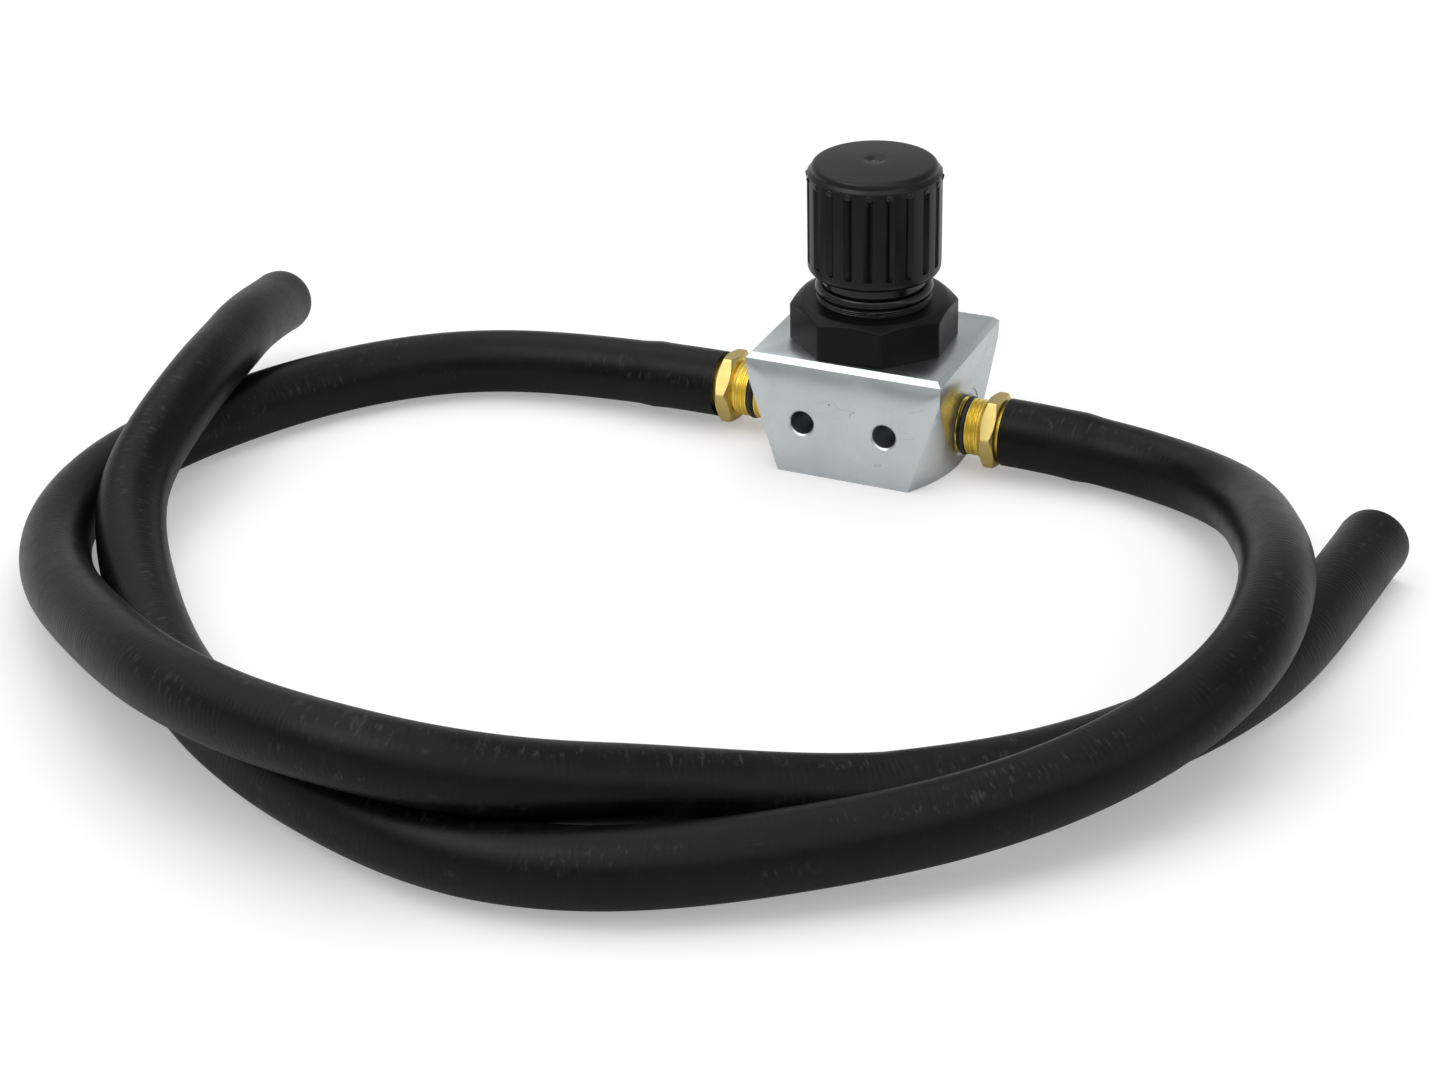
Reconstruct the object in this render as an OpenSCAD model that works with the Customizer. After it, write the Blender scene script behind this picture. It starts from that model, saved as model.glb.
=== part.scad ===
// Flow control valve: a plated block with two hose fittings, a screw-driven plunger across
// its flow passage, and a black push-to-lock knob on top.
// X runs along the ports, the front faces -Y, Z is up. The origin is the centre of the
// block's base. Everything is in millimetres.

/* [Block] */
// Width of the block along the ports, at its top
block_w = 75.6; // [74:0.2:82]
// Depth of the block from front to back
block_d = 64; // [62.5:0.5:72]
// Height of the block
block_h = 45.5; // [45:0.5:52]
// How far the sides lean in, per millimetre of height
side_lean = 0.055; // [0.02:0.005:0.06]
// Bevel along the top edges
top_bevel = 1.9; // [0.5:0.1:3]
// Radius of the bowed flanks at the base
flank_r = 56; // [50:1:70]
// How far the bowed flanks open, per millimetre of height
flank_lean = 0.27; // [0.15:0.01:0.35]

/* [Mounting holes] */
// Diameter of the two mounting holes
hole_d = 9; // [6:0.5:9]
// Distance between the two mounting holes
hole_spacing = 32; // [29:0.5:34]
// Height of the mounting holes above the base
hole_z = 20.6; // [20.3:0.1:22]
// Bevel at the mouth of each mounting hole
hole_bevel = 0.65; // [0.2:0.05:1]

/* [Ports] */
// Height of the port axis above the base
port_z = 14.7; // [14.6:0.1:15.2]
// Crest diameter of the port thread
thread_d = 20.955; // [19:0.005:21.2]
// Pitch of the port thread
thread_pitch = 1.814; // [1.337:0.001:2]
// Depth of the port thread
thread_depth = 1.16; // [0.8:0.02:1.3]
// Length of thread screwed into each port
thread_in = 12.9; // [9:0.1:14]
// Gap between the end of each fitting and the floor of its port
port_relief = 0.7; // [0.5:0.1:1]
// Countersink at the mouth of each port
port_bevel = 1.5; // [0.5:0.1:2]
// Width of the flat spot face round each port's bevel
spot_land = 2; // [1:0.5:4]
// Radius of the flow passage
passage_r = 3.8; // [2.5:0.1:4]
// How far the flow passage lies below the port axis
passage_drop = 4.2; // [4:0.1:4.8]

/* [Fittings] */
// Bare thread between the block and the hexagon on the right
right_out = 9.1; // [8.8:0.1:16]
// Bare thread between the block and the hexagon on the left
left_out = 17.9; // [8.8:0.1:24]
// Size of the fitting hexagon across its flats
hex_af = 25; // [23:0.5:25]
// Thickness of the fitting hexagon
hex_t = 5.8; // [4:0.1:9]
// How far the bevel of the hexagon reaches inside its flats
hex_bevel = 0.4; // [0.2:0.05:0.8]
// Length of the collar between the hexagon and the hose
fitting_collar = 1.5; // [1:0.1:4]
// Number of barbs under the hose
barb_count = 5; // [3:1:8]
// Length of each barb
barb_len = 5.6; // [4:0.1:8]
// How far each barb stands out past the hose's bore
barb_bite = 0.4; // [0.3:0.05:0.6]
// Height of each barb's step
barb_step = 1; // [0.8:0.05:1.2]
// How far the fitting's collar stands out past the barbs
collar_step = 1.2; // [1:0.1:1.4]
// Radius of the bore through the fitting
fitting_bore_r = 5.5; // [4:0.1:6]
// Distance from the hexagon to the middle of its seal ring
seal_from_hex = 7.5; // [4.5:0.1:7.6]
// Thickness of the seal ring
seal_t = 2.3; // [1.6:0.1:2.4]

/* [Hoses] */
// Outer diameter of the hoses
hose_od = 24.2; // [20.5:0.1:24.2]
// Inner diameter of the hoses
hose_id = 16; // [14.5:0.1:17]

/* [Nut and bonnet] */
// Size of the octagonal nut across its corners
nut_ac = 62; // [58:0.5:62]
// Height of the octagonal nut
nut_h = 15.5; // [14:0.5:20]
// Radius of the bonnet inside the nut
barrel_r = 20; // [18.5:0.1:21]
// Radius of the threaded collar above the nut
collar_r = 21.6; // [21.4:0.1:24]
// Height of the threaded collar
collar_h = 7.7; // [7.5:0.1:12]
// Pitch of the fine thread on the collar
fine_pitch = 1.5; // [1:0.1:1.6]
// Radius of the spigot that enters the block
spigot_r = 18; // [17.2:0.1:18.2]
// Depth of the spigot in the block
spigot_depth = 16; // [15.5:0.1:17]
// Radius of the chamber inside the bonnet
chamber_r = 14; // [13.5:0.1:14.4]
// Radius of the neck that the knob covers
neck_r = 19.5; // [15:0.1:19.9]
// Height of the neck that the knob covers
neck_h = 9.3; // [5:0.1:12]
// Radius of the bush that guides the stem
bush_r = 9; // [7:0.1:9]
// Height of the bush above the neck
bush_h = 6; // [3:0.1:8]

/* [Knob] */
// Radius of the knob over its ribs
knob_r = 24.3; // [24.2:0.1:28]
// Height of the knob
knob_h = 42; // [40:0.5:50]
// Gap under the knob when it is pulled up
knob_gap = 2.8; // [2.8:0.1:4]
// Stroke of the knob from pulled up to pushed down
knob_stroke = 2.5; // [1:0.1:2.5]
// Thickness of the knob's top
cap_t = 3; // [2.2:0.1:4]
// Number of grooves around the knob
groove_count = 20; // [12:1:24]
// Depth of each groove
groove_depth = 1.7; // [0.8:0.1:1.8]
// Radius of the hub that takes the stem
hub_r = 9.5; // [8.8:0.1:14]
// Radius of the recess that snaps over the stem's detent ring
detent_r = 7; // [6.6:0.1:7.4]
// Thickness of the knob's wall behind its grooves
knob_wall = 2; // [1.6:0.1:2.2]
// Thickness of the knob's top over the stem
crown_t = 4.5; // [4:0.1:5]
// Diameter of the dimple in the knob's top
dimple_d = 8.5; // [4:0.5:12]
// Depth of the dimple in the knob's top
dimple_depth = 1; // [0.8:0.1:1.2]

/* [Stem and plunger] */
// Radius of the stem in its bush
stem_r = 5; // [4.8:0.1:5.5]
// Height of the stem's O-ring above the collar's top
stem_ring_rise = 1.3; // [1:0.1:1.6]
// Size of the stem hexagon across its flats
stem_af = 8.5; // [7.8:0.1:8.6]
// Radius of the stem's thrust flange
thrust_r = 8; // [7:0.1:8.5]
// Thickness of the stem's thrust flange
thrust_t = 2.9; // [2:0.1:4]
// Thickness of each thrust washer
washer_t = 1; // [0.6:0.1:1.5]
// Thickness of the threaded ring that holds the stem
retainer_t = 3.5; // [2.5:0.1:5]
// Radius of the stem's drive screw
screw_r = 4; // [3:0.1:4.2]
// Ledge of the bonnet that the threaded ring is screwed up to
retainer_ledge = 1.8; // [1.4:0.1:2]
// Length of the stem's neck for the detent ring
stem_neck_h = 2; // [1.6:0.1:2.4]
// Depth of the stem's neck below the hexagon's flats
detent_step = 0.65; // [0.5:0.05:0.8]
// Height of the stem's neck above the foot of the knob's hub
detent_lift = 1; // [0.8:0.1:1.2]
// Radius of the plunger
plunger_r = 6; // [5.5:0.1:6.3]
// Travel of the plunger from rest down to shut
travel_down = 4.5; // [3:0.1:4.5]
// Travel of the plunger from rest up to open
travel_up = 4; // [2:0.1:4]
// Radius of the plunger's guide flange
guide_r = 13; // [12.2:0.1:13.2]
// Thickness of the plunger's guide flange
guide_t = 5; // [3:0.1:6]
// Height of the plunger's nut above the guide flange
plunger_nut_h = 6.5; // [4:0.1:7]
// Wall of the plunger's nut around the drive screw
plunger_nut_wall = 3; // [2.6:0.1:3.4]
// Radius of the pin that stops the plunger turning
key_r = 1.5; // [1:0.1:1.8]
// How far that pin stands outside the middle of the guide flange
key_shift = 0.5; // [0.3:0.1:0.7]
// Depth of the plunger's upper O-ring below the mouth of its bore
plunger_ring_depth = 5.5; // [5.4:0.1:6]
// Distance between the plunger's two O-rings
plunger_ring_gap = 3.5; // [3:0.1:4]
// Web of the plunger between its upper O-ring and its screw hole
plunger_web = 2.5; // [2:0.1:3]
// Thickness of the O-rings on the plunger and the stem
small_ring_t = 1.6; // [1.2:0.1:1.7]
// Thickness of the O-ring on the bonnet
bonnet_ring_t = 2.1; // [1.5:0.1:2.4]

/* [Clearances] */
// Radial clearance of turning and sliding pieces
running_fit = 0.05; // [0.03:0.01:0.1]
// Radial clearance of pieces that are screwed or pressed together
seat_fit = 0.03; // [0.02:0.01:0.05]
// Gap that is left at the end of each travel
end_gap = 0.5; // [0.3:0.1:0.5]
// End play of the stem between its washers
end_play = 0.05; // [0.03:0.01:0.1]

/* [Hidden] */
$fn = 96;

// Amount that a cutting shape runs past the face it opens
past = 1;

// Half the block's width at a height z
function half_width(z) = block_w / 2 - side_lean * (block_h - z);

// Port faces, port floors and the threads in them
port_face_x = half_width(port_z);
port_floor_x = port_face_x - thread_in - port_relief;
crest_r = thread_d / 2;
port_bore_r = crest_r + seat_fit;
spot_r = port_bore_r + port_bevel + spot_land;
root_r = crest_r - thread_depth;
passage_z = port_z - passage_drop;

// Heights from the bottom up
tip_z = passage_z;
bore_floor_z = tip_z - travel_down - end_gap;
socket_floor_z = block_h - spigot_depth;
plunger_ring_top_z = socket_floor_z - plunger_ring_depth;
plunger_ring_z = [plunger_ring_top_z, plunger_ring_top_z - plunger_ring_gap];
screw_hole_z = plunger_ring_top_z + plunger_web;
stem_foot_z = screw_hole_z + travel_up + end_gap;
guide_z = socket_floor_z + travel_down + end_gap;
nut_top_z = block_h + nut_h;
pocket_z = nut_top_z - 2 * washer_t - thrust_t - 2 * end_play;
chamber_top_z = pocket_z - retainer_t - end_gap;
thrust_z = pocket_z + washer_t + end_play;
collar_top_z = nut_top_z + collar_h;
neck_top_z = collar_top_z + neck_h;
bush_top_z = neck_top_z + bush_h;

// Knob, hub, stem neck and hexagon
knob_z = collar_top_z + knob_gap;
knob_top_z = knob_z + knob_h;
hub_z = bush_top_z + knob_stroke + end_gap;
stem_neck_z = hub_z + detent_lift;
stem_hex_z = stem_neck_z + stem_neck_h;
socket_z = stem_hex_z + knob_stroke + end_gap;
socket_top_z = knob_top_z - crown_t;
stem_hex_top_z = socket_top_z - knob_stroke - end_gap;

// Radii that follow from the fits
stem_bore_r = stem_r + running_fit;
valve_bore_r = plunger_r + running_fit;
cavity_r = knob_r - groove_depth - knob_wall;
stem_neck_r = stem_af / 2 - detent_step;
pocket_r = thrust_r + 4 * running_fit;
retainer_r = pocket_r + retainer_ledge;
key_y = (plunger_r + guide_r) / 2 + key_shift;
plunger_nut_r = screw_r + plunger_nut_wall;

// Nut
nut_turn = 25;
nut_bevel_h = 2.4;
nut_bevel_r = 4.4;

// Fittings and hoses
hex_turn = 22.5;
hex_bevel_slope = tan(30);
hose_r = hose_od / 2;
barb_r = hose_id / 2 + barb_bite;
seal_groove_w = seal_t + 0.3;
seal_groove_r = crest_r + 0.45 - seal_t;
right_hex_x = port_face_x + right_out;
left_hex_x = port_face_x + left_out;
hose_sides = 12;

// Hose routes: x, y and the lift of the hose above the surface it lies on.
// Each starts at its fitting and ends at its cut end.
left_route = [
    [-110, 0, 1], [-159, -10, 0], [-200, -42, 0], [-227, -86, 0], [-241, -134, 0],
    [-234, -181, 1], [-207, -222, 5], [-169, -255, 13], [-126, -283, 21], [-77, -300, 25],
    [-28, -303, 26], [13, -284, 17], [51, -259, 7], [94, -232, 0], [132, -203, 0],
    [162, -164, 0], [181, -118, 0], [188, -74, 0], [193, -29, 0]
];
right_route = [
    [98, 0, 0], [140, -22, 4], [163, -64, 15], [177, -109, 25], [180, -156, 24],
    [160, -203, 15], [125, -242, 8], [83, -273, 4], [37, -297, 1], [-7, -306, 0],
    [-55, -298, 0], [-105, -277, 0], [-148, -246, 0], [-185, -208, 1], [-214, -165, 11],
    [-222, -113, 25], [-234, -64, 24], [-248, -15, 14]
];

steel = "#a9aeb4";
plated = "#8f959c";
brass = "#b8904a";
black = "#1b1b1d";

// ---------- shared shapes ----------

// A plain ring between two radii
module ring(r_out, r_in, h) {
    difference() {
        cylinder(r = r_out, h = h);
        translate([0, 0, -past]) cylinder(r = r_in, h = h + 2 * past);
    }
}

// An O-ring that lies flat around Z, with its lowest face at z = 0
module o_ring(centre_r, thickness) {
    translate([0, 0, thickness / 2])
        rotate_extrude() translate([centre_r, 0]) circle(d = thickness, $fn = 32);
}

// A rod with thread-like ridges, from z = 0 upwards
module ridged_rod(r_crest, r_root, pitch, length) {
    turns = floor(length / pitch);
    rotate_extrude() polygon([
        [0, 0], [r_root, 0],
        for (i = [0 : turns - 1]) each [
            [r_root, i * pitch], [r_crest, (i + 0.4) * pitch], [r_crest, (i + 0.6) * pitch]
        ],
        [r_root, turns * pitch], [r_root, length], [0, length]
    ]);
}

// A hexagonal bar by its size across the flats
module hex_bar(across_flats, h) {
    cylinder(r = across_flats / sqrt(3), h = h, $fn = 6);
}

// ---------- block ----------

module block_blank() {
    foot = half_width(0);
    shoulder = half_width(block_h - top_bevel);
    top = shoulder - top_bevel;
    flank_x = flank_r - foot - 0.2;
    flank_top_r = flank_r + flank_lean * block_h;
    intersection() {
        rotate([90, 0, 0]) translate([0, 0, -block_d / 2]) linear_extrude(block_d) polygon([
            [-foot, 0], [foot, 0], [shoulder, block_h - top_bevel], [top, block_h],
            [-top, block_h], [-shoulder, block_h - top_bevel]
        ]);
        rotate([90, 0, 90]) translate([0, 0, -block_w]) linear_extrude(2 * block_w) polygon([
            [-block_d / 2, 0], [block_d / 2, 0], [block_d / 2, block_h - top_bevel],
            [block_d / 2 - top_bevel, block_h], [top_bevel - block_d / 2, block_h],
            [-block_d / 2, block_h - top_bevel]
        ]);
        translate([-flank_x, 0, 0]) cylinder(r1 = flank_r, r2 = flank_top_r, h = block_h);
        translate([flank_x, 0, 0]) cylinder(r1 = flank_r, r2 = flank_top_r, h = block_h);
    }
}

// A port on the +X side: its bore, its countersink, its spot face and the passage to the middle
module port_cut() {
    translate([port_floor_x, 0, port_z]) rotate([0, 90, 0])
        cylinder(r = port_bore_r, h = block_w / 2);
    translate([port_face_x - port_bevel, 0, port_z]) rotate([0, 90, 0])
        cylinder(r1 = port_bore_r, r2 = port_bore_r + 2 * port_bevel, h = 2 * port_bevel);
    translate([port_face_x, 0, port_z]) rotate([0, 90, 0])
        cylinder(r = spot_r, h = block_w / 2);
    translate([0, 0, passage_z]) rotate([0, 90, 0])
        cylinder(r = passage_r, h = port_floor_x + past);
}

module mounting_hole() {
    mouth_r = hole_d / 2 + hole_bevel + past;
    translate([0, block_d / 2 + past, hole_z]) rotate([90, 0, 0])
        cylinder(d = hole_d, h = block_d + 2 * past);
    for (side = [0, 1]) mirror([0, side, 0])
        translate([0, block_d / 2 + past, hole_z]) rotate([90, 0, 0])
            cylinder(r1 = mouth_r, r2 = hole_d / 2, h = hole_bevel + past);
}

module valve_body() {
    color(plated) difference() {
        block_blank();
        port_cut();
        mirror([1, 0, 0]) port_cut();
        for (side = [-1, 1]) translate([side * hole_spacing / 2, 0, 0]) mounting_hole();
        translate([0, 0, bore_floor_z]) cylinder(r = valve_bore_r, h = block_h);
        translate([0, 0, socket_floor_z]) cylinder(r = spigot_r, h = block_h);
        translate([0, key_y, socket_floor_z - 5 * key_r]) cylinder(r = key_r, h = block_h);
    }
}

// ---------- bonnet and nut ----------

// Height of the bonnet's O-ring groove
bonnet_groove_z = block_h - 5.5;
bonnet_groove_h = bonnet_ring_t + 0.3;
bonnet_ring_r = spigot_r - bonnet_ring_t / 2 - 0.02;

module collar_profile() {
    lip = 1.2;
    root = collar_r - 0.6;
    thread_z = nut_top_z + 0.4;
    turns = floor((collar_h - 2.4) / fine_pitch);
    polygon([
        [0, nut_top_z], [root, nut_top_z],
        for (i = [0 : turns - 1]) each [
            [root, thread_z + i * fine_pitch],
            [collar_r, thread_z + (i + 0.4) * fine_pitch],
            [collar_r, thread_z + (i + 0.8) * fine_pitch]
        ],
        [root, thread_z + turns * fine_pitch], [collar_r, thread_z + (turns + 0.4) * fine_pitch],
        [collar_r, collar_top_z - lip],
        for (a = [15 : 15 : 75]) [
            collar_r - lip + lip * cos(a), collar_top_z - lip + lip * sin(a)
        ],
        [collar_r - lip, collar_top_z], [0, collar_top_z]
    ]);
}

module bonnet() {
    color(black) difference() {
        union() {
            translate([0, 0, socket_floor_z])
                cylinder(r = spigot_r - seat_fit, h = nut_top_z + collar_h / 2 - socket_floor_z);
            translate([0, 0, block_h]) cylinder(r = barrel_r, h = nut_h);
            rotate_extrude() collar_profile();
            translate([0, 0, collar_top_z]) cylinder(r = neck_r, h = neck_h);
            translate([0, 0, nut_top_z]) cylinder(r = bush_r, h = bush_top_z - nut_top_z);
        }
        translate([0, 0, socket_floor_z - past])
            cylinder(r = chamber_r, h = chamber_top_z - socket_floor_z + past);
        translate([0, 0, chamber_top_z - past])
            cylinder(r = retainer_r, h = pocket_z - chamber_top_z + past);
        translate([0, 0, pocket_z - past])
            cylinder(r = pocket_r, h = nut_top_z - pocket_z + past);
        translate([0, 0, nut_top_z - past])
            cylinder(r = stem_bore_r, h = bush_top_z - nut_top_z + 2 * past);
        translate([0, 0, bonnet_groove_z])
            ring(spigot_r + past, spigot_r - bonnet_ring_t - 0.05, bonnet_groove_h);
    }
}

module octagon_nut() {
    corner_r = nut_ac / 2;
    slope = nut_bevel_r / nut_bevel_h;
    color(black) translate([0, 0, block_h]) difference() {
        intersection() {
            rotate([0, 0, nut_turn]) cylinder(r = corner_r, h = nut_h, $fn = 8);
            rotate_extrude() polygon([
                [0, 0], [corner_r + slope, 0], [corner_r + slope, nut_h - nut_bevel_h - 1],
                [corner_r - nut_bevel_r, nut_h], [0, nut_h]
            ]);
        }
        translate([0, 0, -past]) cylinder(r = barrel_r + seat_fit, h = nut_h + 2 * past);
    }
}

module bonnet_o_ring() {
    color(black) translate([0, 0, bonnet_groove_z + 0.15]) o_ring(bonnet_ring_r, bonnet_ring_t);
}

// ---------- stem ----------

stem_ring_z = collar_top_z + stem_ring_rise;
stem_ring_r = stem_r - small_ring_t / 2 + 0.02;
small_groove_h = small_ring_t + 0.2;

module stem() {
    color(steel) difference() {
        union() {
            translate([0, 0, stem_foot_z])
                cylinder(r = screw_r, h = thrust_z - stem_foot_z);
            translate([0, 0, thrust_z]) cylinder(r = thrust_r, h = thrust_t);
            translate([0, 0, thrust_z + thrust_t])
                cylinder(r = stem_r, h = stem_neck_z - thrust_z - thrust_t);
            translate([0, 0, stem_neck_z]) cylinder(r = stem_neck_r, h = stem_neck_h);
            translate([0, 0, stem_hex_z]) hex_bar(stem_af, stem_hex_top_z - stem_hex_z);
        }
        translate([0, 0, stem_ring_z])
            ring(stem_r + past, stem_r - small_ring_t, small_groove_h);
    }
}

module stem_o_ring() {
    color(black) translate([0, 0, stem_ring_z + 0.1]) o_ring(stem_ring_r, small_ring_t);
}

module thrust_washer() {
    color(brass) ring(pocket_r - seat_fit, stem_r + 0.2, washer_t);
}

module thrust_washer_upper() {
    translate([0, 0, nut_top_z - washer_t]) thrust_washer();
}

module thrust_washer_lower() {
    translate([0, 0, pocket_z]) thrust_washer();
}

module stem_retainer() {
    color(brass) translate([0, 0, pocket_z - retainer_t])
        ring(retainer_r - seat_fit, screw_r + running_fit, retainer_t);
}

module detent_ring() {
    color(black) translate([0, 0, stem_neck_z + 0.2])
        ring(detent_r - 2 * running_fit, stem_neck_r + seat_fit, stem_neck_h - 0.4);
}

// ---------- knob ----------

module knob_profile() {
    shoulder = knob_r - 1.4;
    rim = 0.9;
    polygon([
        [0, knob_z], [knob_r - 2.8, knob_z], [knob_r - 1.4, knob_z + 0.7],
        [knob_r - 0.1, knob_z + 2.4], [knob_r, knob_z + 3.2],
        [knob_r, knob_top_z - 4.5], [shoulder, knob_top_z - 3.2],
        [shoulder, knob_top_z - 0.6 - rim],
        for (a = [15 : 15 : 75]) [
            shoulder - rim + rim * cos(a), knob_top_z - 0.6 - rim + rim * sin(a)
        ],
        [shoulder - rim, knob_top_z - 0.6], [shoulder / 2, knob_top_z - 0.15],
        [0, knob_top_z]
    ]);
}

// One groove, from the plain rim up to its pointed end
module groove() {
    foot_z = knob_z + 4.7;
    head_z = knob_top_z - 5 - 2 * groove_depth;
    translate([knob_r, 0, foot_z]) cylinder(r = groove_depth, h = head_z - foot_z);
    translate([knob_r, 0, head_z]) cylinder(r1 = groove_depth, r2 = 0.2, h = groove_depth);
}

module knob() {
    color(black) difference() {
        rotate_extrude() knob_profile();
        for (i = [0 : groove_count - 1]) rotate([0, 0, (i + 0.5) * 360 / groove_count]) groove();
        translate([0, 0, knob_z - past])
            cylinder(r = cavity_r, h = hub_z - knob_z + past);
        translate([0, 0, hub_z - past])
            ring(cavity_r, hub_r, knob_top_z - cap_t - hub_z + past);
        translate([0, 0, hub_z - past]) cylinder(r = detent_r, h = socket_z - hub_z + past);
        translate([0, 0, socket_z - past])
            hex_bar(stem_af + 4 * running_fit, socket_top_z - socket_z + past);
        translate([0, 0, knob_top_z - dimple_depth])
            cylinder(d1 = dimple_d - dimple_depth, d2 = dimple_d + dimple_depth,
                h = 2 * dimple_depth);
    }
}

// ---------- plunger ----------

plunger_ring_r = plunger_r - small_ring_t / 2 + 0.02;

module plunger() {
    tip_h = 2.5;
    color(steel) difference() {
        union() {
            translate([0, 0, tip_z]) cylinder(r1 = plunger_r - tip_h, r2 = plunger_r, h = tip_h);
            translate([0, 0, tip_z + tip_h])
                cylinder(r = plunger_r, h = guide_z - tip_z - tip_h);
            translate([0, 0, guide_z]) cylinder(r = guide_r, h = guide_t);
            translate([0, 0, guide_z + guide_t]) cylinder(r = plunger_nut_r, h = plunger_nut_h);
        }
        translate([0, 0, screw_hole_z]) cylinder(r = screw_r + running_fit, h = block_h);
        translate([0, key_y, guide_z - past])
            cylinder(r = key_r + running_fit, h = guide_t + 2 * past);
        for (z = plunger_ring_z) translate([0, 0, z - small_groove_h / 2])
            ring(plunger_r + past, plunger_r - small_ring_t, small_groove_h);
    }
}

module plunger_o_ring(z) {
    color(black) translate([0, 0, z - small_ring_t / 2]) o_ring(plunger_ring_r, small_ring_t);
}

module plunger_o_ring_upper() {
    plunger_o_ring(plunger_ring_z[0]);
}

module plunger_o_ring_lower() {
    plunger_o_ring(plunger_ring_z[1]);
}

module key_pin() {
    foot_z = socket_floor_z - 5 * key_r;
    head_z = guide_z + guide_t + travel_up + 2.5;
    color(steel) translate([0, key_y, foot_z]) cylinder(r = key_r, h = head_z - foot_z);
}

// ---------- fittings ----------

// The hexagon around Z, with its corners turned down at both ends
module fitting_hex() {
    face_r = hex_af / 2 - hex_bevel;
    rim_r = hex_af / sqrt(3) + 0.2;
    bevel_h = (rim_r - face_r) * hex_bevel_slope;
    intersection() {
        hex_bar(hex_af, hex_t);
        rotate_extrude() polygon([
            [0, 0], [face_r, 0], [rim_r, bevel_h],
            [rim_r, hex_t - bevel_h], [face_r, hex_t], [0, hex_t]
        ]);
    }
}

// A fitting along +X: the hexagon's inner face is at x = 0, the thread runs to -X
module fitting(out) {
    shank = out + thread_in;
    tail = fitting_collar + barb_count * barb_len;
    color(brass) difference() {
        rotate([0, 90, 0]) {
            translate([0, 0, -shank]) ridged_rod(crest_r, root_r, thread_pitch, shank);
            rotate([0, 0, hex_turn]) fitting_hex();
            translate([0, 0, hex_t]) cylinder(r = barb_r + collar_step, h = fitting_collar);
            for (i = [0 : barb_count - 1])
                translate([0, 0, hex_t + fitting_collar + i * barb_len])
                    cylinder(r1 = barb_r, r2 = barb_r - barb_step, h = barb_len);
        }
        translate([-shank - past, 0, 0]) rotate([0, 90, 0])
            cylinder(r = fitting_bore_r, h = shank + hex_t + tail + 2 * past);
        translate([-seal_from_hex - seal_groove_w / 2, 0, 0]) rotate([0, 90, 0])
            ring(crest_r + past, seal_groove_r, seal_groove_w);
    }
}

module seal_ring() {
    color(black) translate([-seal_from_hex - seal_t / 2, 0, 0]) rotate([0, 90, 0])
        o_ring(seal_groove_r + seal_t / 2 + 0.02, seal_t);
}

module right_fitting() {
    translate([right_hex_x, 0, port_z]) fitting(right_out);
}

module left_fitting() {
    mirror([1, 0, 0]) translate([left_hex_x, 0, port_z]) fitting(left_out);
}

module right_seal_ring() {
    translate([right_hex_x, 0, port_z]) seal_ring();
}

module left_seal_ring() {
    mirror([1, 0, 0]) translate([left_hex_x, 0, port_z]) seal_ring();
}

// ---------- hoses ----------

function unit(v) = v / norm(v);

// The direction of the path at point i: the first is set by the fitting
function heading(path, i, start) =
    i == 0 ? start : unit(path[min(i + 1, len(path) - 1)] - path[i - 1]);

// One ring of points around a path point
function hoop(centre, along, r) =
    let (aside = unit(cross(along, [0, 0, 1])), up = cross(aside, along))
    [for (k = [0 : hose_sides - 1])
        centre + r * (cos(360 * k / hose_sides) * aside + sin(360 * k / hose_sides) * up)];

// All rings of a path, one after another, at one radius
function hoops(path, start, r) =
    [for (i = [0 : len(path) - 1]) each hoop(path[i], heading(path, i, start), r)];

// The four-sided faces between neighbouring rings, from the point number base
function walls(rings, base, outward) =
    [for (i = [0 : rings - 2]) for (k = [0 : hose_sides - 1])
        let (a = base + i * hose_sides, n = (k + 1) % hose_sides,
            face = [a + k, a + n, a + n + hose_sides, a + k + hose_sides])
        outward ? face : [face[3], face[2], face[1], face[0]]];

// The flat ring that closes one end of the tube
function end_face(ring_a, ring_b, outward) =
    [for (k = [0 : hose_sides - 1])
        let (n = (k + 1) % hose_sides,
            face = [ring_a + k, ring_b + k, ring_b + n, ring_a + n])
        outward ? face : [face[3], face[2], face[1], face[0]]];

module hose(first, start, route) {
    path = [first, for (q = route) [q.x, q.y, hose_r + q.z]];
    rings = len(path);
    inner = rings * hose_sides;
    last = (rings - 1) * hose_sides;
    polyhedron(
        points = concat(hoops(path, start, hose_r), hoops(path, start, hose_id / 2)),
        faces = concat(
            walls(rings, 0, true), walls(rings, inner, false),
            end_face(0, inner, true), end_face(last, inner + last, false)
        )
    );
}

hose_gap = hex_t + fitting_collar;

module left_hose() {
    color(black) hose([-left_hex_x - hose_gap, 0, port_z], [-1, 0, 0], left_route);
}

module right_hose() {
    color(black) hose([right_hex_x + hose_gap, 0, port_z], [1, 0, 0], right_route);
}

valve_body();
bonnet();
octagon_nut();
bonnet_o_ring();
stem();
stem_o_ring();
thrust_washer_upper();
thrust_washer_lower();
stem_retainer();
detent_ring();
knob();
plunger();
plunger_o_ring_upper();
plunger_o_ring_lower();
key_pin();
left_fitting();
right_fitting();
left_seal_ring();
right_seal_ring();
left_hose();
right_hose();
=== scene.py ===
import math

import bmesh
import bpy
import numpy as np
from mathutils import Matrix, Vector


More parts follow.
